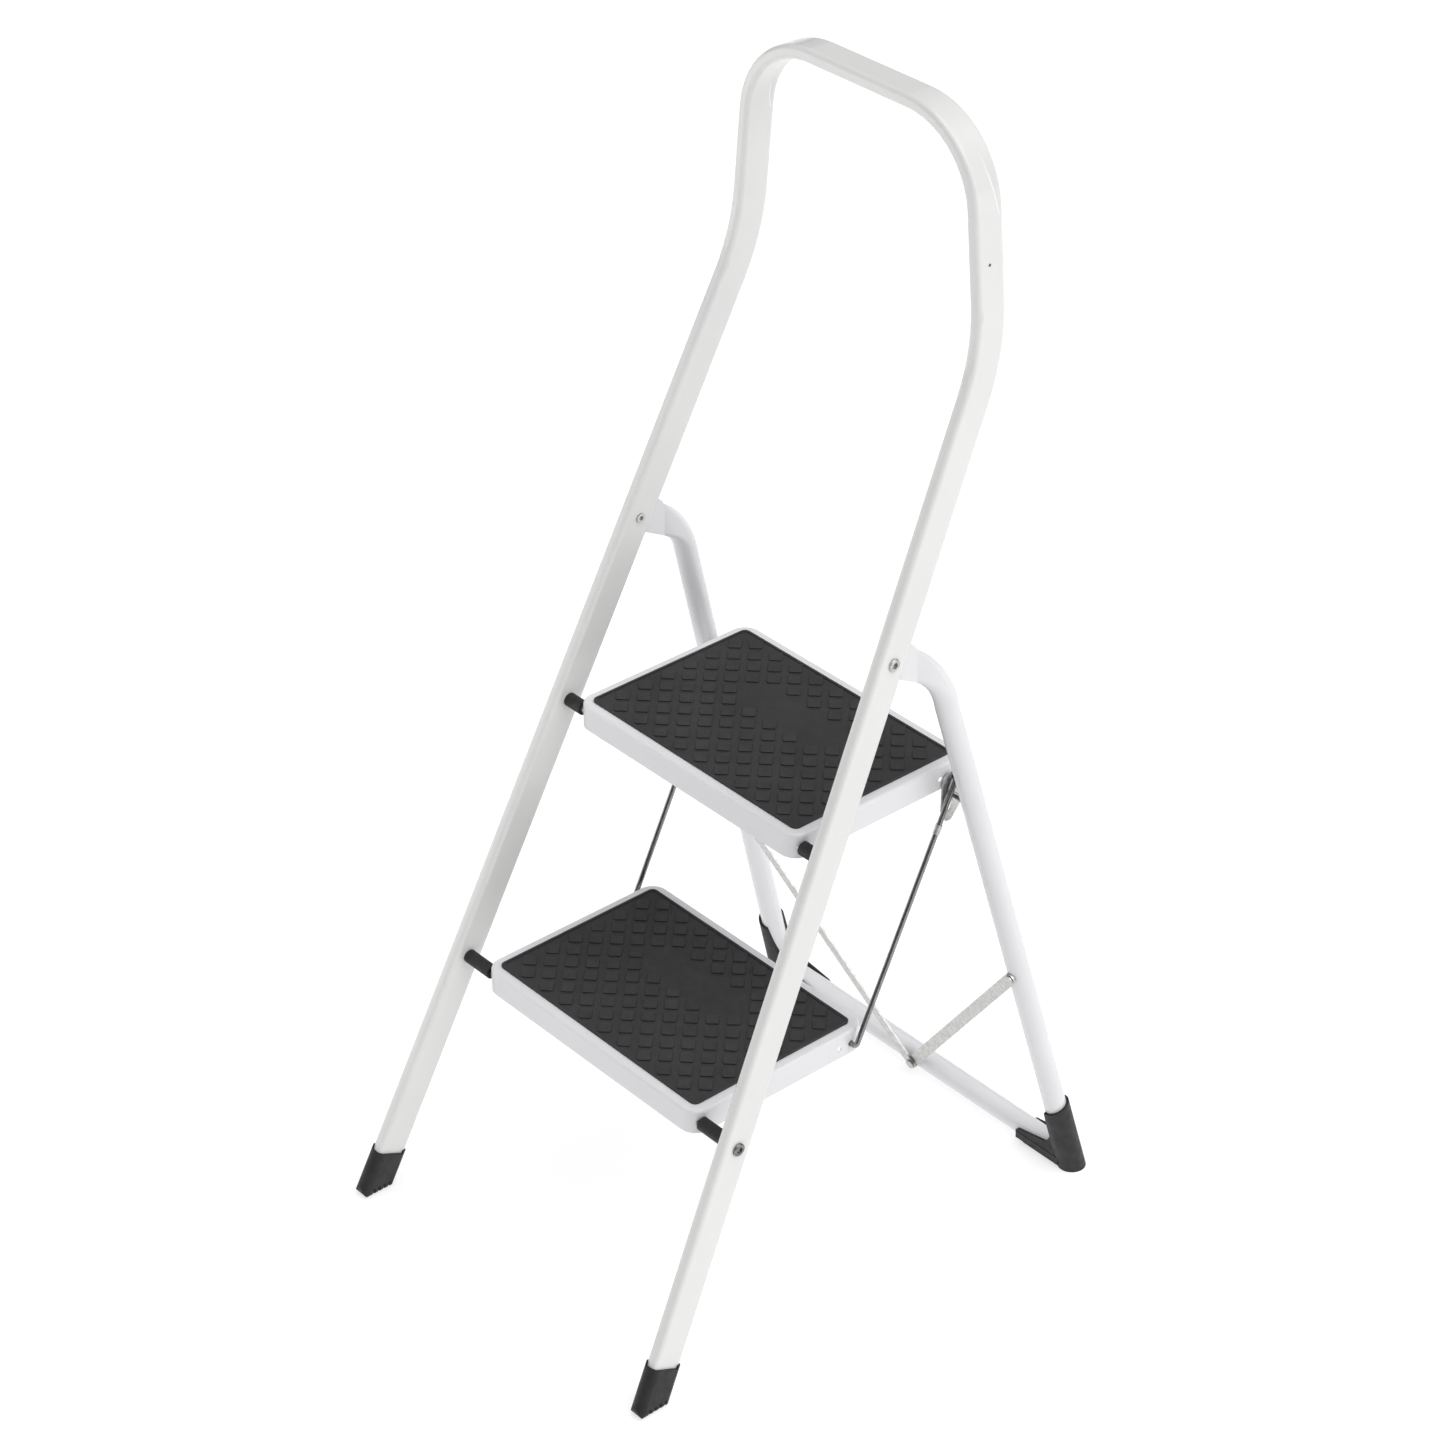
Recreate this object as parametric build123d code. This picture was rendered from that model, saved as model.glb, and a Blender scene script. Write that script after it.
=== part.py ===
from build123d import *
from math import atan, cos, degrees, radians, sin, tan
import os

# Folding two-step stool with a high handrail.  Millimetres, +Z up.
# The user stands at -Y and climbs towards +Y.  The origin is on the floor, centred under the stool.

# Rails and handrail: one flat-sided tube bent into a loop.
RAIL_HALF = 202.0            # half spacing of the rail centre lines at the floor
RAIL_SPLAY = 0.0568          # inward shift per millimetre of height
RAIL_Y = -261.32             # centre line where it meets the floor
RAIL_LEAN = 0.4794           # rearward shift per millimetre of height
RAIL_DEPTH = 32.0
RAIL_WIDTH = 12.8
RAIL_CORNER = 4.6
RAIL_WALL = 1.5
RAIL_START = 18.0            # height of the cut lower end
BEND_Z = 886.4
BEND_RADIUS = 190.0
TOP_Z = 1082.4
TOP_SPLAY = 0.0948
TOP_RADIUS = 80.0
GUIDE_HOLE_Z = 964.0

# Rear frame.
LEG_HALF = 205.5
LEG_SPLAY = 0.0592
LEG_Y = 265.78
LEG_LEAN = -0.2752
LEG_DIAMETER = 21.5
LEG_WALL = 1.3
LEG_START = 5.0
LEG_BEND_Z = 570.0           # the straight tube ends here and opens into the ear
EAR_THICKNESS = 4.0
EAR_RADIUS = 13.3
EAR_END = 32.2               # crease behind the pivot
PIVOT_Z = 636.6
CROSS_Z = 13.6
CROSS_DIAMETER = 21.5
BRACE_Z = 253.0
BRACE_WIDTH = 12.0
BRACE_THICKNESS = 1.8

# Steps.
LOWER_AXLE_Z = 231.9
UPPER_AXLE_Z = 472.4
AXLE_DIAMETER = 8.0
MAT_WIDTH = 275.5
MAT_DEPTH = 186.0
MAT_TOP = 15.2               # above the axle
MAT_THICKNESS = 2.2
TRAY_RIM = 10.0
TRAY_SHEET = 1.5
TRAY_CORNER = 17.0
TRAY_BOTTOM = -11.2          # below the axle
SPACER_DIAMETER = 13.4

# Coupling rods and the hooks that hold the upper step.
ROD_DIAMETER = 5.0
ROD_REACH = 177.0            # behind each axle
ROD_DROP = -1.0
ROD_X = 154.6
SPARE_HOLE_REACH = 163.5
HOOK_X = 150.2
HOOK_THICKNESS = 1.8
HOOK_RIVET_Z = 451.0

RUN = 0.05                   # radial clearance of running fits
GAP = 0.3

RAIL_SLOPE = degrees(atan(RAIL_LEAN))
TRAY_WIDTH = MAT_WIDTH + 2 * TRAY_RIM
TRAY_DEPTH = MAT_DEPTH + 2 * TRAY_RIM
TRAY_TOP = MAT_TOP - MAT_THICKNESS

parts = {}


def rail_point(z, side=1):
    """Point on a rail centre line below the bend."""
    return Vector(side * (RAIL_HALF - RAIL_SPLAY * z), RAIL_Y + RAIL_LEAN * z, z)


def leg_point(z, side=1):
    """Point on the centre line of a rear leg's straight tube."""
    return Vector(side * (LEG_HALF - LEG_SPLAY * z), LEG_Y + LEG_LEAN * z, z)


def rounded_path(points, radii):
    """Straight runs joined by arcs of the given radii."""
    edges = []
    start = points[0]
    for index, radius in enumerate(radii):
        before = points[index]
        corner = points[index + 1]
        after = points[index + 2]
        to_before = (before - corner).normalized()
        to_after = (after - corner).normalized()
        half = radians(to_before.get_angle(to_after)) / 2
        setback = radius / tan(half)
        centre = corner + (to_before + to_after).normalized() * (radius / sin(half))
        first = corner + to_before * setback
        last = corner + to_after * setback
        middle = centre + (corner - centre).normalized() * radius
        edges.append(Line(start, first))
        edges.append(ThreePointArc(first, middle, last))
        start = last
    edges.append(Line(start, points[-1]))
    return Wire(edges)


def across(point, direction):
    """Plane square to a direction, its local x close to world X."""
    forward = direction.normalized()
    x_axis = Vector(1, 0, 0) - forward * forward.X
    return Plane(origin=point, x_dir=x_axis.normalized(), z_dir=forward)


def rod(start, end, radius):
    """Round bar between two points."""
    direction = end - start
    plane = Plane(origin=start, z_dir=direction.normalized())
    return extrude(plane * Circle(radius), amount=direction.length)


def x_bar(y, z, x_from, x_to, radius):
    """Round bar along X."""
    low = min(x_from, x_to)
    high = max(x_from, x_to)
    return rod(Vector(low, y, z), Vector(high, y, z), radius)


def flip(shape):
    """The same piece on the other side of the stool."""
    return mirror(shape, about=Plane.YZ)


def pair(name, right_shape):
    """Register a right-hand piece and its mirror image."""
    parts[name + "_right"] = right_shape
    parts[name + "_left"] = flip(right_shape)


# ---------------------------------------------------------------- rail frame
bend = rail_point(BEND_Z)
upper_y = bend.Y
top_half = bend.X - TOP_SPLAY * (TOP_Z - BEND_Z)
foot_start = rail_point(RAIL_START)
rail_points = [foot_start, bend, Vector(top_half, upper_y, TOP_Z), Vector(0, upper_y, TOP_Z)]
rail_path = rounded_path(rail_points, [BEND_RADIUS, TOP_RADIUS])
rail_direction = (bend - foot_start).normalized()
rail_plane = across(foot_start, rail_direction)
rail_outer = rail_plane * RectangleRounded(RAIL_WIDTH, RAIL_DEPTH, RAIL_CORNER)
inner_width = RAIL_WIDTH - 2 * RAIL_WALL
inner_depth = RAIL_DEPTH - 2 * RAIL_WALL
rail_inner = rail_plane * RectangleRounded(inner_width, inner_depth, RAIL_CORNER - RAIL_WALL)
half_outer = sweep(rail_outer, path=rail_path)
half_inner = sweep(rail_inner, path=rail_path)
half_rail = half_outer - half_inner

pivot = rail_point(PIVOT_Z)
lower_axle = rail_point(LOWER_AXLE_Z)
upper_axle = rail_point(UPPER_AXLE_Z)
RIVET_RADIUS = 3.5
half_rail -= x_bar(pivot.Y, pivot.Z, pivot.X - 20, pivot.X + 20, RIVET_RADIUS + RUN)
half_rail -= x_bar(lower_axle.Y, lower_axle.Z, lower_axle.X - 20, lower_axle.X + 20, AXLE_DIAMETER / 2 + RUN)
half_rail -= x_bar(upper_axle.Y, upper_axle.Z, upper_axle.X - 20, upper_axle.X, AXLE_DIAMETER / 2 + RUN)
guide_x = bend.X - TOP_SPLAY * (GUIDE_HOLE_Z - BEND_Z)
half_rail -= x_bar(upper_y - 2.0, GUIDE_HOLE_Z, guide_x, guide_x + 12, 1.6)

# Slot in the rear edge that lets the leg's ear turn between the side walls.
slot_direction = Vector(0, rail_direction.Y, rail_direction.Z).normalized()
slot_plane = Plane(origin=pivot, x_dir=Vector(1, 0, 0), z_dir=slot_direction)
slot = slot_plane * Pos(0, 15, -10.5) * Box(EAR_THICKNESS + 1.6, 30, 61)
half_rail -= slot
parts["rail_frame"] = half_rail + flip(half_rail)


# ---------------------------------------------------------------- front feet
FOOT_WIDTH = RAIL_WIDTH + 4.6
FOOT_DEPTH = RAIL_DEPTH + 4.6
FOOT_RIM_Z = 40.0
FOOT_CORNER = FOOT_WIDTH / 2 - 0.1
SOLE_RADIUS = 6.5
GROOVE_WIDTH = 3.2
GROOVE_PITCH = 6.0
GROOVE_HEIGHT = 8.5


def front_foot(lip_side):
    base = rail_point(-12)
    rim = rail_point(FOOT_RIM_Z)
    along = across(base, rail_direction)
    outline = RectangleRounded(FOOT_WIDTH, FOOT_DEPTH, FOOT_CORNER)
    body = extrude(along * outline, amount=(rim - base).length)
    # Small lips on two opposite corners of the rim.
    rim_plane = across(rim, rail_direction)
    lips = extrude(rim_plane * Pos(0, 0, -1) * outline, amount=3.8)
    corners = Pos(-lip_side * 6.7, -15.3, 0) * Box(6, 8, 20)
    corners += Pos(lip_side * 6.7, 15.3, 0) * Box(6, 8, 20)
    body += lips & (rim_plane * corners)
    # Side profile: rolled toe, small heel radius, flat sole.
    half = (FOOT_DEPTH / 2 - 0.05) / cos(radians(RAIL_SLOPE))
    rise = 90.0
    shift = RAIL_LEAN * rise
    toe = (RAIL_Y - half, 0)
    heel = (RAIL_Y + half, 0)
    face = make_face(Polyline(toe, heel, (heel[0] + shift, rise), (toe[0] + shift, rise), close=True))
    low = face.vertices().sort_by(Axis.Y)[:2].sort_by(Axis.X)
    face = fillet(low[0], 8.6)
    low = face.vertices().filter_by(lambda v: abs(v.X - heel[0]) < 0.01 and abs(v.Y) < 0.01)
    face = fillet(low, 4.0)
    side_plane = Plane(origin=(base.X, 0, 0), x_dir=(0, 1, 0), z_dir=(1, 0, 0))
    body = body & extrude(side_plane * face, amount=30, both=True)
    # Front profile: the sole curves up to both sides.
    left = base.X - RAIL_SPLAY * 12 - FOOT_WIDTH / 2
    right = left + FOOT_WIDTH
    shift = RAIL_SPLAY * rise
    front = make_face(Polyline((left, 0), (right, 0), (right - shift, rise), (left - shift, rise), close=True))
    front = fillet(front.vertices().sort_by(Axis.Y)[:2], SOLE_RADIUS)
    front_plane = Plane(origin=(0, base.Y, 0), x_dir=(1, 0, 0), z_dir=(0, -1, 0))
    body = body & extrude(front_plane * front, amount=80, both=True)
    # Tread grooves across the sole.
    for index in range(4):
        y = RAIL_Y + 5 + (index - 1.5) * GROOVE_PITCH
        body -= Pos(base.X, y, 0) * Box(60, GROOVE_WIDTH, GROOVE_HEIGHT * 2)
    pocket_plane = across(rail_point(RAIL_START - 0.05), rail_direction)
    pocket_outline = RectangleRounded(RAIL_WIDTH + 0.1, RAIL_DEPTH + 0.1, RAIL_CORNER)
    return body - extrude(pocket_plane * pocket_outline, amount=80)


parts["front_foot_right"] = front_foot(1)
parts["front_foot_left"] = flip(front_foot(-1))


# ---------------------------------------------------------------- axles, spacers, rivets
def rail_inner_face(z):
    return RAIL_HALF - RAIL_SPLAY * z - RAIL_WIDTH / 2 - 0.12


def rail_outer_face(z):
    return RAIL_HALF - RAIL_SPLAY * z + RAIL_WIDTH / 2 + 0.12


upper_end = rail_inner_face(UPPER_AXLE_Z) + 6.5
parts["upper_axle"] = x_bar(upper_axle.Y, upper_axle.Z, -upper_end, upper_end, AXLE_DIAMETER / 2)

lower_end = rail_outer_face(LOWER_AXLE_Z) + 0.3
lower_bolt = x_bar(lower_axle.Y, lower_axle.Z, -lower_end - 3.4, lower_end, AXLE_DIAMETER / 2)
head = x_bar(lower_axle.Y, lower_axle.Z, lower_end, lower_end + 2.2, 6.2)
head = fillet(head.faces().sort_by(Axis.X)[-1].edges(), 1.2)
head -= x_bar(lower_axle.Y, lower_axle.Z, lower_end + 0.8, lower_end + 3, 3.0)
parts["lower_axle_bolt"] = lower_bolt + head
nut_start = -lower_end - 2.6
nut = x_bar(lower_axle.Y, lower_axle.Z, nut_start, -lower_end, 6.2)
nut = fillet(nut.faces().sort_by(Axis.X)[0].edges(), 1.2)
nut -= x_bar(lower_axle.Y, lower_axle.Z, nut_start - 2, -lower_end + 2, AXLE_DIAMETER / 2 + 0.03)
lower_trim = Pos(nut_start - 10, lower_axle.Y, lower_axle.Z) * Box(20, 30, 30)
parts["lower_axle_bolt"] = parts["lower_axle_bolt"] - lower_trim
parts["lower_axle_cap"] = nut


def spacer(axle, z):
    start = TRAY_WIDTH / 2 + GAP
    end = rail_inner_face(z + SPACER_DIAMETER / 2)
    shape = x_bar(axle.Y, z, start, end, SPACER_DIAMETER / 2)
    return shape - x_bar(axle.Y, z, start - 5, end + 5, AXLE_DIAMETER / 2 + RUN)


pair("upper_spacer", spacer(upper_axle, UPPER_AXLE_Z))
pair("lower_spacer", spacer(lower_axle, LOWER_AXLE_Z))


def pivot_rivet():
    outer = rail_outer_face(PIVOT_Z) + 0.35
    inner = rail_inner_face(PIVOT_Z) - 0.35
    shape = x_bar(pivot.Y, pivot.Z, inner - 0.9, outer, RIVET_RADIUS)
    cap = x_bar(pivot.Y, pivot.Z, outer, outer + 1.6, 6.0)
    shape += fillet(cap.faces().sort_by(Axis.X)[-1].edges(), 1.0)
    shape += x_bar(pivot.Y, pivot.Z, inner - 1.0, inner, 4.6)
    shape -= x_bar(pivot.Y, pivot.Z, outer - 1.0, outer + 3, 2.9)
    return shape - x_bar(pivot.Y, pivot.Z, inner - 3, inner + 1.5, 2.2)


pair("pivot_rivet", pivot_rivet())


# ---------------------------------------------------------------- steps
def tray(axle):
    centre_y = axle.Y - TRAY_RIM + TRAY_DEPTH / 2
    bottom = axle.Z + TRAY_BOTTOM
    height = TRAY_TOP - TRAY_BOTTOM
    outline = RectangleRounded(TRAY_WIDTH, TRAY_DEPTH, TRAY_CORNER)
    shape = extrude(Pos(0, centre_y, bottom) * outline, amount=height)
    shape = fillet(shape.faces().sort_by(Axis.Z)[-1].edges(), 3.0)
    inner_outline = RectangleRounded(
        TRAY_WIDTH - 2 * TRAY_SHEET, TRAY_DEPTH - 2 * TRAY_SHEET, TRAY_CORNER - TRAY_SHEET
    )
    inside = extrude(Pos(0, centre_y, bottom - 1) * inner_outline, amount=height + 1 - TRAY_SHEET)
    inside = fillet(inside.faces().sort_by(Axis.Z)[-1].edges(), 1.6)
    shape -= inside
    shape -= x_bar(axle.Y, axle.Z, -200, 200, AXLE_DIAMETER / 2 + RUN)
    shape -= x_bar(axle.Y + SPARE_HOLE_REACH, axle.Z + ROD_DROP, -200, 200, 2.6)
    return shape


def mat(axle):
    centre_y = axle.Y + MAT_DEPTH / 2
    top = axle.Z + MAT_TOP
    outline = RectangleRounded(MAT_WIDTH, MAT_DEPTH, 6.0)
    shape = extrude(Pos(0, centre_y, top - MAT_THICKNESS) * outline, amount=MAT_THICKNESS)
    shape = chamfer(shape.faces().sort_by(Axis.Z)[-1].edges(), 0.4)
    recess = RectangleRounded(MAT_WIDTH - 6.0, MAT_DEPTH - 6.0, 3.5)
    return shape - extrude(Pos(0, centre_y, top - 0.8) * recess, amount=2)


upper_tray = tray(upper_axle)
lower_tray = tray(lower_axle)
upper_rod_y = upper_axle.Y + ROD_REACH
lower_rod_y = lower_axle.Y + ROD_REACH
rod_top_z = UPPER_AXLE_Z + ROD_DROP
rod_low_z = LOWER_AXLE_Z + ROD_DROP
parts["upper_tray"] = upper_tray - x_bar(upper_rod_y, rod_top_z, -200, 200, ROD_DIAMETER / 2 + RUN)
parts["lower_tray"] = lower_tray - x_bar(lower_rod_y, rod_low_z, -200, 200, ROD_DIAMETER / 2 + 0.5)
parts["upper_mat"] = mat(upper_axle)
parts["lower_mat"] = mat(lower_axle)


# ---------------------------------------------------------------- coupling rods
ROD_END_X = TRAY_WIDTH / 2 - TRAY_SHEET - 4.0


def coupling_rod():
    high = Vector(ROD_X, upper_rod_y, rod_top_z)
    low = Vector(ROD_X, lower_rod_y, rod_low_z)
    points = [Vector(ROD_END_X, high.Y, high.Z), high, low, Vector(ROD_END_X, low.Y, low.Z)]
    path = rounded_path(points, [3.6, 3.6])
    section = Plane(origin=points[0], z_dir=Vector(1, 0, 0)) * Circle(ROD_DIAMETER / 2)
    return sweep(section, path=path)


def rod_clips():
    skirt_inside = TRAY_WIDTH / 2 - TRAY_SHEET - GAP
    clips = []
    for y, z in ((upper_rod_y, rod_top_z), (lower_rod_y, rod_low_z)):
        ring = x_bar(y, z, skirt_inside - 1.0, skirt_inside, 5.0)
        clips.append(ring - x_bar(y, z, skirt_inside - 5, skirt_inside + 5, ROD_DIAMETER / 2 + 0.02))
    return Compound(children=clips)


def rod_collar():
    high = Vector(ROD_X, upper_rod_y, rod_top_z)
    low = Vector(ROD_X, lower_rod_y, rod_low_z)
    down = (low - high).normalized()
    start = high + down * 46
    end = high + down * 55
    return rod(start, end, 3.2) - rod(start - down * 5, end + down * 5, ROD_DIAMETER / 2 + 0.02)


pair("coupling_rod", coupling_rod())
pair("rod_clips", rod_clips())
pair("rod_collar", rod_collar())


# ---------------------------------------------------------------- rear frame
leg_down = (leg_point(0) - leg_point(100)).normalized()
ear_root = Vector(pivot.X, pivot.Y, PIVOT_Z)


def flat_section(point, direction, width, thickness):
    """Rounded section of a tube pressed to a given width and thickness."""
    plane = Plane(origin=point, x_dir=Vector(1, 0, 0) - direction * direction.X, z_dir=direction)
    radius = min(width, thickness) / 2 - 0.01
    return plane * RectangleRounded(thickness, width, radius)


def leg():
    # Straight tube.
    bottom = leg_point(LEG_START - 8)
    top = leg_point(LEG_BEND_Z)
    outer = rod(bottom, top, LEG_DIAMETER / 2)
    bore = rod(bottom - leg_down * -5, top - leg_down * 2, LEG_DIAMETER / 2 - LEG_WALL)
    shape = outer - bore
    # Bend that flattens into the ear: offset from the pivot, slope, width and thickness.
    stations = [
        (4.46, 57.3, -44.1, 48.6, 22.4, 20.0),
        (1.76, 45.7, -27.7, 19.4, 26.8, 13.0),
        (0.0, EAR_END, -16.7, 0.0, 33.1, EAR_THICKNESS),
    ]
    sections = [flat_section(top, leg_down * -1, LEG_DIAMETER, LEG_DIAMETER)]
    for x, y, z, slope, width, thickness in stations:
        direction = Vector(0, -cos(radians(slope)), sin(radians(slope)))
        sections.append(flat_section(ear_root + Vector(x, y, z), direction, width, thickness))
    shape += loft(sections)
    # Flat ear with a round end on the pivot.
    ear_plane = Plane(origin=ear_root, x_dir=(0, 1, 0), z_dir=(1, 0, 0))
    outline = Polyline(
        (-6.7, -11.5), (EAR_END + 0.2, -32.9), (EAR_END + 0.2, -0.5), (29.4, 4.8), (24.5, 8.3), (-2.0, 13.1),
        close=True,
    )
    blade = make_face(outline) + Circle(EAR_RADIUS)
    shape += extrude(ear_plane * blade, amount=EAR_THICKNESS / 2, both=True)
    shape -= x_bar(pivot.Y, pivot.Z, pivot.X - 20, pivot.X + 20, RIVET_RADIUS + RUN)
    floor_cut = Pos(LEG_HALF, LEG_Y, LEG_START - 50) * Box(100, 100, 100)
    return shape - floor_cut


leg_right = leg()
cross_y = LEG_Y + LEG_LEAN * CROSS_Z
cross_span = LEG_HALF - LEG_SPLAY * CROSS_Z
cross = x_bar(cross_y, CROSS_Z, -cross_span, cross_span, CROSS_DIAMETER / 2)
cross -= x_bar(cross_y, CROSS_Z, -cross_span - 5, cross_span + 5, CROSS_DIAMETER / 2 - LEG_WALL)
for side in (1, -1):
    cross -= rod(leg_point(-40, side), leg_point(80, side), LEG_DIAMETER / 2 + 0.02)

brace_normal = Vector(0, -1, LEG_LEAN).normalized()
rivet_layer = LEG_DIAMETER / 2
brace_top = leg_point(BRACE_Z)
brace_low = Vector(0, cross_y, CROSS_Z)


def brace_rivet(point, length):
    start = point + brace_normal * (rivet_layer - 3.0)
    end = point + brace_normal * (rivet_layer + length)
    top = rod(end, end + brace_normal * 1.4, 4.6)
    return rod(start, end, 2.5) + top


leg_right -= rod(brace_top, brace_top + brace_normal * 30, 2.5 + 0.02)
cross -= rod(brace_low, brace_low + brace_normal * 30, 2.5 + 0.02)


def brace(layer, side):
    top = leg_point(BRACE_Z, side)
    start = top + brace_normal * (rivet_layer + 0.1)
    finish = brace_low + brace_normal * (rivet_layer + layer)
    run = finish - start
    across_strip = run.cross(brace_normal).normalized()
    facing = across_strip.cross(run).normalized()
    plane = Plane(origin=start, x_dir=run.normalized(), z_dir=facing * -1)
    blade = Pos(run.length / 2, 0) * SlotOverall(run.length + BRACE_WIDTH, BRACE_WIDTH)
    shape = extrude(plane * blade, amount=BRACE_THICKNESS)
    if shape.center().Y > (start.Y + finish.Y) / 2:
        shape = extrude(plane * blade, amount=-BRACE_THICKNESS)
    for point in (top, brace_low):
        shape -= rod(point, point + brace_normal * 40, 2.5 + 0.03)
    return shape


brace_right = brace(0.1, 1)
brace_left = brace(0.2 + BRACE_THICKNESS, -1)
parts["brace_right"] = brace_right
parts["brace_left"] = brace_left
rivets = [
    brace_rivet(brace_top, BRACE_THICKNESS + 0.35),
    brace_rivet(leg_point(BRACE_Z, -1), BRACE_THICKNESS + 0.35),
    brace_rivet(brace_low, 2 * BRACE_THICKNESS + 0.6),
]
parts["brace_rivets"] = Compound(children=rivets)


# ---------------------------------------------------------------- support hooks
hook_rivet_y = LEG_Y + LEG_LEAN * HOOK_RIVET_Z + 1.0


def hook():
    pin_y = upper_rod_y
    pin_z = rod_top_z
    outline = [
        (pin_y - 9.5, pin_z + 5.5),
        (pin_y - 13.5, pin_z - 6.0),
        (pin_y - 14.0, pin_z - 33.0),
        (pin_y - 9.0, pin_z - 45.0),
        (pin_y - 2.0, pin_z - 45.5),
        (pin_y + 8.5, pin_z - 32.0),
        (pin_y + 10.5, pin_z - 15.0),
        (pin_y + 9.0, pin_z - 2.0),
    ]
    face = make_face(Polyline(*outline, close=True))
    face = fillet(face.vertices(), 3.2)
    opening_tilt = RAIL_SLOPE
    slot = Pos(pin_y, pin_z) * Rot(0, 0, -opening_tilt) * Pos(0, 12) * Rectangle(6.6, 24)
    face -= slot
    face -= Pos(pin_y, pin_z) * Circle(3.3)
    face -= Pos(pin_y - 4.5, pin_z - 29.0) * Rot(0, 0, -16) * SlotOverall(13.0, 6.4, 90)
    face -= Pos(hook_rivet_y, HOOK_RIVET_Z) * Circle(3.0 + 0.03)
    side_plane = Plane(origin=(HOOK_X, 0, 0), x_dir=(0, 1, 0), z_dir=(1, 0, 0))
    return extrude(side_plane * face, amount=HOOK_THICKNESS / 2, both=True)


def hook_rivet():
    wall_x = LEG_HALF - LEG_SPLAY * HOOK_RIVET_Z - LEG_DIAMETER / 2
    inner = HOOK_X - HOOK_THICKNESS / 2
    shape = x_bar(hook_rivet_y, HOOK_RIVET_Z, inner - 0.2, wall_x + 4.0, 3.0)
    shape += x_bar(hook_rivet_y, HOOK_RIVET_Z, inner - 0.9, inner - 0.1, 4.4)
    return shape


leg_right -= x_bar(hook_rivet_y, HOOK_RIVET_Z, 140, LEG_HALF - LEG_SPLAY * HOOK_RIVET_Z, 3.0 + 0.03)
pair("leg", leg_right)
parts["cross_tube"] = cross
pair("support_hook", hook())
pair("hook_rivet", hook_rivet())


# ---------------------------------------------------------------- rear feet
FOOT_WALL = 2.7
ARM_END = 146.5


def xz_prism(points, y, thickness):
    """Plate square to Y with the given outline in X and Z."""
    plane = Plane(origin=(0, y, 0), x_dir=(1, 0, 0), z_dir=(0, -1, 0))
    return extrude(plane * make_face(Polyline(*points, close=True)), amount=thickness / 2, both=True)


def rear_foot():
    sleeve = rod(leg_point(-20), leg_point(110), LEG_DIAMETER / 2 + FOOT_WALL)
    rim = leg_point(79.5)
    rim_plane = Plane(origin=rim, z_dir=Vector(-0.33, -0.47, 1))
    sleeve -= rim_plane * Pos(0, 0, 40) * Box(120, 120, 80)
    # The sleeve is open towards the middle of the stool above the cross tube.
    opening = [(150, 26), (192.6, 26), (199.8, 105), (150, 105)]
    sleeve -= xz_prism(opening, LEG_Y, 90)
    # Trough under the cross tube, with a cheek on each side that rises towards the leg.
    arm = x_bar(cross_y, CROSS_Z, ARM_END, cross_span, CROSS_DIAMETER / 2 + 3.0)
    arm -= Pos(180, cross_y, CROSS_Z + 25) * Box(140, 60, 50)
    tip = [(ARM_END, 6), (ARM_END, 15.4), (ARM_END + 2, 17)]
    front_cheek = tip + [(184, 23.6), (188.5, 27.5), (191.5, 35), (193.5, 44), (203, 44), (203, 6)]
    rear_cheek = tip + [(180, 21.4), (193, 24.4), (200, 22.6), (203.5, 15), (203.5, 6)]
    reach = CROSS_DIAMETER / 2 + FOOT_WALL / 2 - 0.05
    shape = sleeve + arm
    shape += xz_prism(front_cheek, cross_y - reach, FOOT_WALL)
    shape += xz_prism(rear_cheek, cross_y + reach, FOOT_WALL)
    sole_length = cross_span - ARM_END - 10
    shape += Pos(ARM_END + 6 + sole_length / 2, cross_y, 2) * Box(sole_length, 17, 9)
    shape -= Pos(170, LEG_Y, -50) * Box(260, 160, 100)
    shape -= x_bar(cross_y, CROSS_Z, 100, cross_span, CROSS_DIAMETER / 2 + 0.08)
    leg_hole = rod(leg_point(-30), leg_point(130), LEG_DIAMETER / 2 + 0.05)
    leg_hole -= Pos(LEG_HALF, LEG_Y, LEG_START - 50.1) * Box(120, 120, 100)
    return shape - leg_hole


pair("rear_foot", rear_foot())

os.makedirs("parts", exist_ok=True)
for name, shape in parts.items():
    export_step(shape, "parts/" + name + ".step")
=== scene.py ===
import math

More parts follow.
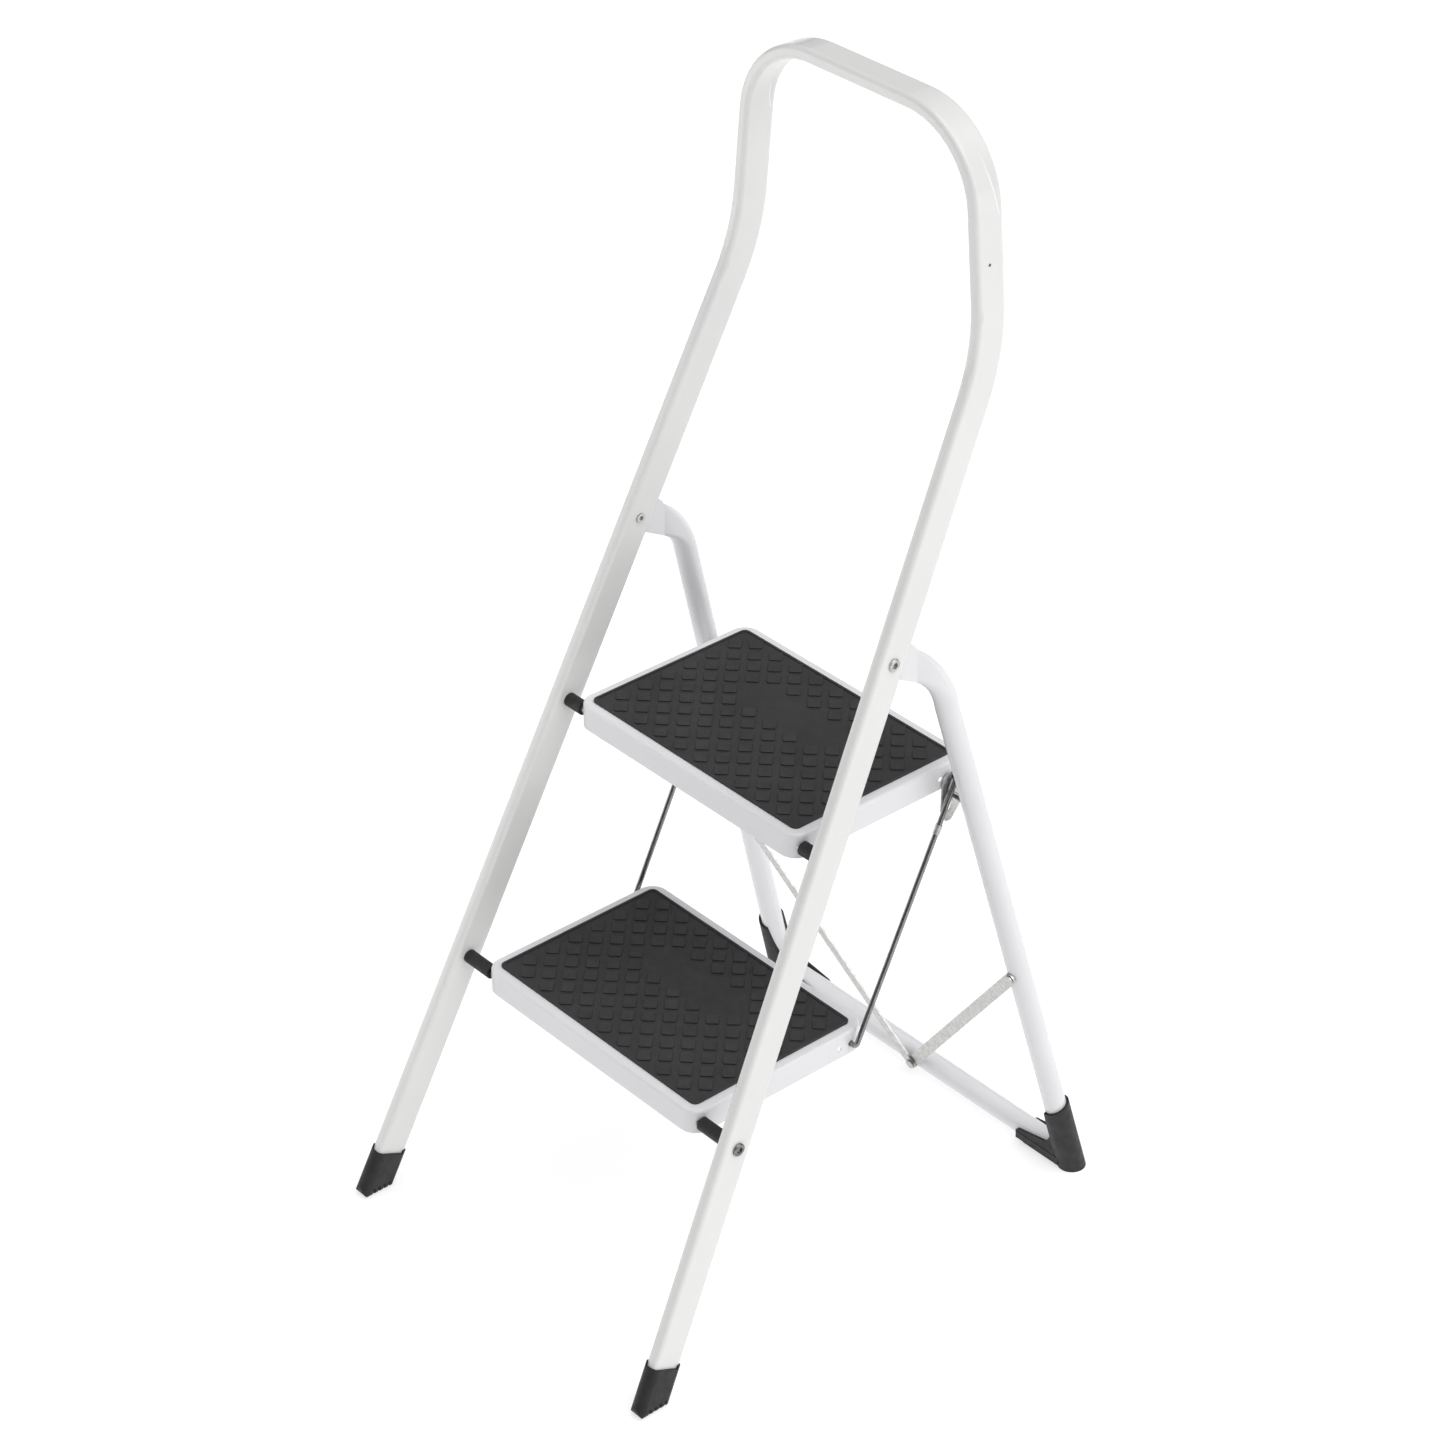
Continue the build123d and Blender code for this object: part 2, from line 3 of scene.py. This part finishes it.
import bmesh
import bpy
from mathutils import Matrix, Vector


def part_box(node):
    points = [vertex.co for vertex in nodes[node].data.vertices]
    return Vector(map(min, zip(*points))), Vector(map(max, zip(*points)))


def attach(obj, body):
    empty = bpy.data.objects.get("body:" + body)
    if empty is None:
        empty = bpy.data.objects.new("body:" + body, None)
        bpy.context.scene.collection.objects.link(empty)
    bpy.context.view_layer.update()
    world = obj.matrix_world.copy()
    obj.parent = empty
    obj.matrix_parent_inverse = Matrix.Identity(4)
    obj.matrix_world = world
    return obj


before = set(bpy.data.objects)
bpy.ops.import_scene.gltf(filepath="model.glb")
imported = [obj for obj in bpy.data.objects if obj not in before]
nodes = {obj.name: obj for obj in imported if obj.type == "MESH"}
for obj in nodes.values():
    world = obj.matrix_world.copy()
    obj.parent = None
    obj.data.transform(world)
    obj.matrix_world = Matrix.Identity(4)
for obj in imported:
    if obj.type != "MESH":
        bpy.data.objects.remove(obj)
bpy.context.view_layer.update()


# ---------------------------------------------------------------- material helpers
class Shader:
    """A Principled material with a few helpers for building its node tree."""

    def __init__(self, name, colour, roughness, metallic=0.0):
        self.material = bpy.data.materials.new(name)
        self.material.use_nodes = True
        self.tree = self.material.node_tree
        self.bsdf = self.tree.nodes["Principled BSDF"]
        self.bsdf.inputs["Base Color"].default_value = (*colour, 1)
        self.bsdf.inputs["Roughness"].default_value = roughness
        self.bsdf.inputs["Metallic"].default_value = metallic
        self.material.diffuse_color = (*colour, 1)
        coord = self.tree.nodes.new("ShaderNodeTexCoord")
        self.place = coord.outputs["Object"]
        self.normal = None

    def link(self, source, target):
        self.tree.links.new(source, target)

    def math(self, kind, a, b=None, clamp=False):
        node = self.tree.nodes.new("ShaderNodeMath")
        node.operation = kind
        node.use_clamp = clamp
        for socket, value in zip(node.inputs, (a, b)):
            if value is None:
                continue
            if isinstance(value, (int, float)):
                socket.default_value = value
            else:
                self.link(value, socket)
        return node.outputs[0]

    def scaled(self, factors):
        node = self.tree.nodes.new("ShaderNodeMapping")
        node.inputs["Scale"].default_value = factors
        self.link(self.place, node.inputs["Vector"])
        return node.outputs[0]

    def axes(self):
        node = self.tree.nodes.new("ShaderNodeSeparateXYZ")
        self.link(self.place, node.inputs[0])
        return node.outputs

    def noise(self, scale, detail=2.0, stretch=None):
        node = self.tree.nodes.new("ShaderNodeTexNoise")
        node.inputs["Scale"].default_value = scale
        node.inputs["Detail"].default_value = detail
        self.link(self.scaled(stretch) if stretch else self.place, node.inputs["Vector"])
        return node.outputs["Fac"]

    def cells(self, scale):
        node = self.tree.nodes.new("ShaderNodeTexVoronoi")
        node.inputs["Scale"].default_value = scale
        self.link(self.place, node.inputs["Vector"])
        return node.outputs["Distance"]

    def remap(self, value, low, high, to_low, to_high):
        node = self.tree.nodes.new("ShaderNodeMapRange")
        self.link(value, node.inputs["Value"])
        for name, number in (("From Min", low), ("From Max", high), ("To Min", to_low), ("To Max", to_high)):
            node.inputs[name].default_value = number
        return node.outputs[0]

    def colours(self, value, stops):
        node = self.tree.nodes.new("ShaderNodeValToRGB")
        ramp = node.color_ramp
        while len(ramp.elements) < len(stops):
            ramp.elements.new(0.5)
        for element, (position, colour) in zip(ramp.elements, stops):
            element.position = position
            element.color = (*colour, 1)
        self.link(value, node.inputs[0])
        self.link(node.outputs[0], self.bsdf.inputs["Base Color"])

    def tint(self, mask, colour):
        """Mix a colour over the base colour where the mask is 1."""
        node = self.tree.nodes.new("ShaderNodeMix")
        node.data_type = "RGBA"
        self.link(mask, node.inputs["Factor"])
        self.link(self.bsdf.inputs["Base Color"].links[0].from_socket, node.inputs[6])
        node.inputs[7].default_value = (*colour, 1)
        self.link(node.outputs[2], self.bsdf.inputs["Base Color"])

    def roughness(self, value):
        self.link(value, self.bsdf.inputs["Roughness"])

    def bump(self, height, strength, distance):
        node = self.tree.nodes.new("ShaderNodeBump")
        node.inputs["Strength"].default_value = strength
        node.inputs["Distance"].default_value = distance
        self.link(height, node.inputs["Height"])
        if self.normal is not None:
            self.link(self.normal, node.inputs["Normal"])
        self.normal = node.outputs[0]
        self.link(self.normal, self.bsdf.inputs["Normal"])


def white_paint(name="paint_white", blue=1.0):
    """Powder-coated steel: slightly cool white, faint orange peel, gently uneven gloss."""
    s = Shader(name, (0.78, 0.78, 0.795), 0.25)
    tone = s.noise(9, 3)
    s.colours(tone, [(0.3, (0.765, 0.765, 0.785 * blue)), (0.7, (0.80, 0.80, 0.81 * blue))])
    s.roughness(s.remap(s.noise(60, 3), 0.3, 0.7, 0.17, 0.25))
    s.bump(s.noise(900, 2), 0.5, 0.00001)
    s.bump(s.noise(38, 2), 0.10, 0.00012)
    s.bsdf.inputs["Specular IOR Level"].default_value = 0.6
    return s


# The leaf-shaped crease pressed into each top bend.
CREASE_TIP_DEPTH = 0.0845       # its tip, below the top of the handrail
CREASE_SETBACK = 0.0052         # its tip, in front of the rear face
CREASE_LENGTH = 0.040
CREASE_RUN = 0.0075             # how far its edge runs forward over that length
RAIL_BLUE = 0.965               # the rail's paint is a little warmer than the other paint


def rail_paint():
    """The same paint over the pressed leaf-shaped creases at the rear of the two top bends, with a painted
    highlight along each crease's edge and painted shade inside it.
    """
    s = white_paint("paint_rail", RAIL_BLUE)
    _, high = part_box("rail_frame")
    rear = high.y
    _, y, z = s.axes()
    tip = high.z - CREASE_TIP_DEPTH
    # The crease line runs forward as it climbs from its tip.
    climb = s.math("MULTIPLY", s.math("SUBTRACT", z, tip), 1 / CREASE_LENGTH, clamp=True)
    run = s.math("MULTIPLY", s.math("POWER", climb, 0.8), CREASE_RUN)
    line = s.math("SUBTRACT", rear - CREASE_SETBACK, run)
    offset = s.math("SUBTRACT", y, line)
    inside = s.remap(offset, -0.0011, 0.0011, 0.0, 1.0)
    above = s.remap(z, tip - 0.001, tip + 0.003, 0.0, 1.0)
    fade = s.remap(z, tip + 0.030, tip + 0.050, 1.0, 0.0)
    leaf = s.math("MULTIPLY", s.math("MULTIPLY", inside, above), fade)
    s.bump(s.math("SUBTRACT", 1.0, leaf), 1.0, 0.0010)
    # Painted highlight along its edge, and painted shade over the floor of the leaf.
    edge = s.remap(s.math("ABSOLUTE", offset), 0.0004, 0.0013, 1.0, 0.0)
    s.tint(s.math("MULTIPLY", leaf, 0.5), (0.70, 0.705, 0.68))
    s.tint(s.math("MULTIPLY", s.math("MULTIPLY", edge, above), fade), (0.98, 0.98, 0.97))
    return s


def black_plastic():
    """Moulded polypropylene: satin, fine spark-eroded grain, tone varying at random in soft patches."""
    s = Shader("plastic_black", (0.03, 0.03, 0.031), 0.5)
    s.colours(s.noise(70, 4), [(0.32, (0.005, 0.005, 0.0055)), (0.72, (0.012, 0.012, 0.0125))])
    s.roughness(s.remap(s.noise(160, 3), 0.3, 0.7, 0.48, 0.64))
    s.bump(s.noise(1500, 2), 0.35, 0.00010)
    return s.material


def mat_rubber():
    """Ribbed tread mat: dull charcoal rubber with a fine grain and slight uneven bloom."""
    s = Shader("rubber_mat", (0.035, 0.035, 0.036), 0.6)
    s.colours(s.noise(26, 5), [(0.3, (0.022, 0.022, 0.023)), (0.72, (0.032, 0.032, 0.033))])
    s.roughness(s.remap(s.noise(90, 3), 0.3, 0.7, 0.50, 0.66))
    s.bump(s.noise(1900, 2), 0.4, 0.00008)
    s.bump(s.noise(240, 2), 0.12, 0.00015)
    return s.material


def tread_rubber():
    """The raised blocks of the mat, polished slightly smoother on top than the floor between them."""
    s = Shader("rubber_blocks", (0.04, 0.04, 0.041), 0.55)
    s.colours(s.noise(55, 4), [(0.3, (0.023, 0.023, 0.024)), (0.7, (0.033, 0.033, 0.034))])
    s.roughness(s.remap(s.noise(120, 3), 0.3, 0.7, 0.46, 0.60))
    s.bump(s.noise(1900, 2), 0.35, 0.00008)
    return s.material


def zinc():
    """Zinc-plated steel: pale grey with a soft spangle and stamping marks."""
    s = Shader("steel_zinc", (0.60, 0.60, 0.58), 0.34, 1.0)
    s.colours(s.cells(260), [(0.0, (0.42, 0.42, 0.41)), (0.7, (0.58, 0.58, 0.565))])
    s.roughness(s.remap(s.noise(180, 4), 0.3, 0.7, 0.26, 0.42))
    s.bump(s.noise(700, 3), 0.2, 0.00008)
    return s.material


def bright_wire():
    """Bright plated rod with faint drawing lines along it; its colour is darkened as a painted dark
    reflection.
    """
    s = Shader("steel_bright", (0.72, 0.72, 0.71), 0.16, 1.0)
    # Painted dark reflection: the base colour is kept low overall, with faint drawing lines along the rod in
    # it.
    s.colours(s.noise(120, 3, (3, 3, 0.25)), [(0.3, (0.20, 0.20, 0.198)), (0.7, (0.32, 0.32, 0.317))])
    s.roughness(s.remap(s.noise(300, 3, (3, 3, 0.2)), 0.3, 0.7, 0.10, 0.20))
    s.bump(s.noise(900, 2, (3, 3, 0.15)), 0.12, 0.00004)
    return s.material


def dark_steel():
    """Dark plated bolt heads: smoky bright metal with turning marks."""
    s = Shader("steel_dark", (0.2, 0.2, 0.2), 0.25, 1.0)
    s.colours(s.noise(300, 3), [(0.3, (0.15, 0.15, 0.15)), (0.7, (0.27, 0.27, 0.265))])
    s.roughness(s.remap(s.noise(500, 3), 0.3, 0.7, 0.16, 0.3))
    s.bump(s.noise(1500, 2), 0.2, 0.00004)
    return s.material


materials = {
    "white_paint": white_paint().material,
    "black_plastic": black_plastic(),
    "mat_rubber": mat_rubber(),
    "zinc": zinc(),
    "bright_wire": bright_wire(),
}
tread_material = tread_rubber()
special = {"rail_frame": rail_paint().material}
bolt_material = dark_steel()
for name in ("lower_axle_bolt", "lower_axle_cap"):
    special[name] = bolt_material

for name, node in nodes.items():
    for place in node.material_slots:
        key = place.material.name.split(".")[0]
        place.material = special.get(name, materials[key])


# ---------------------------------------------------------------- mesh helpers
def new_piece(name, mesh, material, body):
    piece = bpy.data.objects.new(name, mesh)
    bpy.context.scene.collection.objects.link(piece)
    mesh.materials.append(material)
    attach(piece, body)
    return piece


def rounded_outline(width, depth, radius, steps=3):
    """Corner-rounded rectangle as a list of (x, y), anticlockwise."""
    points = []
    for quarter in range(4):
        cx = (width / 2 - radius) * (1 if quarter in (0, 3) else -1)
        cy = (depth / 2 - radius) * (1 if quarter in (0, 1) else -1)
        for step in range(steps + 1):
            angle = math.radians(90 * (quarter + step / steps))
            points.append((cx + radius * math.cos(angle), cy + radius * math.sin(angle)))
    return points


def add_block(bm, centre, turn, width, depth, low, high, corner, slope):
    """A low block with a rounded outline and a bevelled top edge."""
    rings = []
    for z, inset in ((low, 0.0), (high - slope, 0.0), (high, slope)):
        outline = rounded_outline(width - 2 * inset, depth - 2 * inset, max(corner - inset, 0.0001))
        ring = []
        for x, y in outline:
            px = centre[0] + x * math.cos(turn) - y * math.sin(turn)
            py = centre[1] + x * math.sin(turn) + y * math.cos(turn)
            ring.append(bm.verts.new((px, py, z)))
        rings.append(ring)
    count = len(rings[0])
    for lower, upper in zip(rings, rings[1:]):
        for i in range(count):
            j = (i + 1) % count
            bm.faces.new((lower[i], lower[j], upper[j], upper[i]))
    bm.faces.new(rings[-1])
    bm.faces.new(list(reversed(rings[0])))


# ---------------------------------------------------------------- tread mats
PITCH_X = 0.0274
PITCH_Y = 0.0270
BLOCK_LENGTH = 0.0140
BLOCK_WIDTH = 0.0122
BLOCK_TURN = math.radians(-45)
BLOCK_PROUD = 0.0004            # above the top of the mat
BLOCK_SUNK = 0.0009             # below it
BLOCK_CORNER = 0.0018
BLOCK_BEVEL = 0.00015
MARGIN_X = 0.0125               # no block's centre is nearer to the mat's edges than this
MARGIN_Y = 0.0115
HALF_ROWS = 7
HALF_COLUMNS = 12
# The smooth patch in the lattice.
PATCH_HALF_WIDTH = 0.064
PATCH_HALF_DEPTH = 0.0215
PATCH_SHIFT = 0.025


def tread_blocks(step):
    low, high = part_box(step + "_mat")
    middle = (low + high) / 2
    top = high.z
    bm = bmesh.new()
    half = (high - low) / 2
    for row in range(-HALF_ROWS, HALF_ROWS + 1):
        for column in range(-HALF_COLUMNS, HALF_COLUMNS + 1):
            if (row + column) % 2:
                continue
            x = column * PITCH_X / 2
            y = row * PITCH_Y / 2
            if abs(x) > half.x - MARGIN_X or abs(y) > half.y - MARGIN_Y:
                continue
            if abs(x) < PATCH_HALF_WIDTH and abs(y - PATCH_SHIFT) < PATCH_HALF_DEPTH:
                continue
            add_block(
                bm, (middle.x + x, middle.y + y), BLOCK_TURN, BLOCK_LENGTH, BLOCK_WIDTH,
                top - BLOCK_SUNK, top + BLOCK_PROUD, BLOCK_CORNER, BLOCK_BEVEL,
            )
    mesh = bpy.data.meshes.new(step + "_tread_blocks")
    bm.to_mesh(mesh)
    bm.free()
    new_piece(step + "_tread_blocks", mesh, tread_material, step + "_step_body")


for step in ("upper", "lower"):
    tread_blocks(step)


# ---------------------------------------------------------------- floor, light and camera
def floor_material():
    s = Shader("floor_pale", (0.5, 0.5, 0.5), 0.9)
    s.colours(s.noise(1.5, 3), [(0.3, (0.44, 0.44, 0.44)), (0.7, (0.46, 0.46, 0.46))])
    s.bsdf.inputs["Specular IOR Level"].default_value = 0.0
    s.bsdf.inputs["Emission Color"].default_value = (1, 1, 1, 1)
    s.bsdf.inputs["Emission Strength"].default_value = 0.68
    return s.material


floor_mesh = bpy.data.meshes.new("floor")
reach = 40.0                    # half the width of the floor
corners = [(-reach, -reach, 0), (reach, -reach, 0), (reach, reach, 0), (-reach, reach, 0)]
floor_mesh.from_pydata(corners, [], [(0, 1, 2, 3)])
floor = bpy.data.objects.new("floor", floor_mesh)
bpy.context.scene.collection.objects.link(floor)
floor_mesh.materials.append(floor_material())


def area_light(name, place, aim, size, power):
    light = bpy.data.lights.new(name, "AREA")
    light.shape = "RECTANGLE"
    light.size, light.size_y = size
    light.energy = power
    lamp = bpy.data.objects.new(name, light)
    lamp.location = place
    direction = Vector(aim) - Vector(place)
    lamp.rotation_euler = direction.to_track_quat("-Z", "Y").to_euler()
    bpy.context.scene.collection.objects.link(lamp)


def soft_sun(name, towards, power, spread):
    light = bpy.data.lights.new(name, "SUN")
    light.energy = power
    light.angle = math.radians(spread)
    lamp = bpy.data.objects.new(name, light)
    lamp.rotation_euler = Vector(towards).to_track_quat("-Z", "Y").to_euler()
    bpy.context.scene.collection.objects.link(lamp)


soft_sun("top_soft", (-0.45, -0.15, -1.0), 1.9, 70)
area_light("left_panel", (-1.5, -1.1, 0.9), (-0.2, 0, 0.5), (0.9, 1.8), 6)
area_light("right_panel", (2.4, 0.9, 1.3), (0.2, 0, 0.5), (1.4, 1.8), 9)

world = bpy.data.worlds.new("studio")
bpy.context.scene.world = world
world.use_nodes = True
tree = world.node_tree
background = tree.nodes["Background"]
background.inputs["Strength"].default_value = 1.0
coord = tree.nodes.new("ShaderNodeTexCoord")
split = tree.nodes.new("ShaderNodeSeparateXYZ")
tree.links.new(coord.outputs["Generated"], split.inputs[0])
ramp = tree.nodes.new("ShaderNodeValToRGB")
ramp.color_ramp.elements[0].position = 0.0
ramp.color_ramp.elements[0].color = (0.06, 0.06, 0.062, 1)
ramp.color_ramp.elements[1].position = 0.85
ramp.color_ramp.elements[1].color = (0.48, 0.48, 0.49, 1)
tree.links.new(split.outputs["Z"], ramp.inputs[0])
tree.links.new(ramp.outputs[0], background.inputs["Color"])

view = bpy.context.scene.view_settings
view.view_transform = "Standard"
view.look = "None"
view.exposure = 0.0
view.gamma = 1.0

camera_data = bpy.data.cameras.new("camera")
camera_data.lens = 99.01
camera_data.sensor_width = 36.0
camera_data.clip_start = 0.1
camera_data.clip_end = 100.0
camera = bpy.data.objects.new("camera", camera_data)
camera.location = (2.2204, -1.9361, 2.4111)
camera.rotation_euler = (math.radians(57.222), 0, math.radians(48.877))
bpy.context.scene.collection.objects.link(camera)
bpy.context.scene.camera = camera
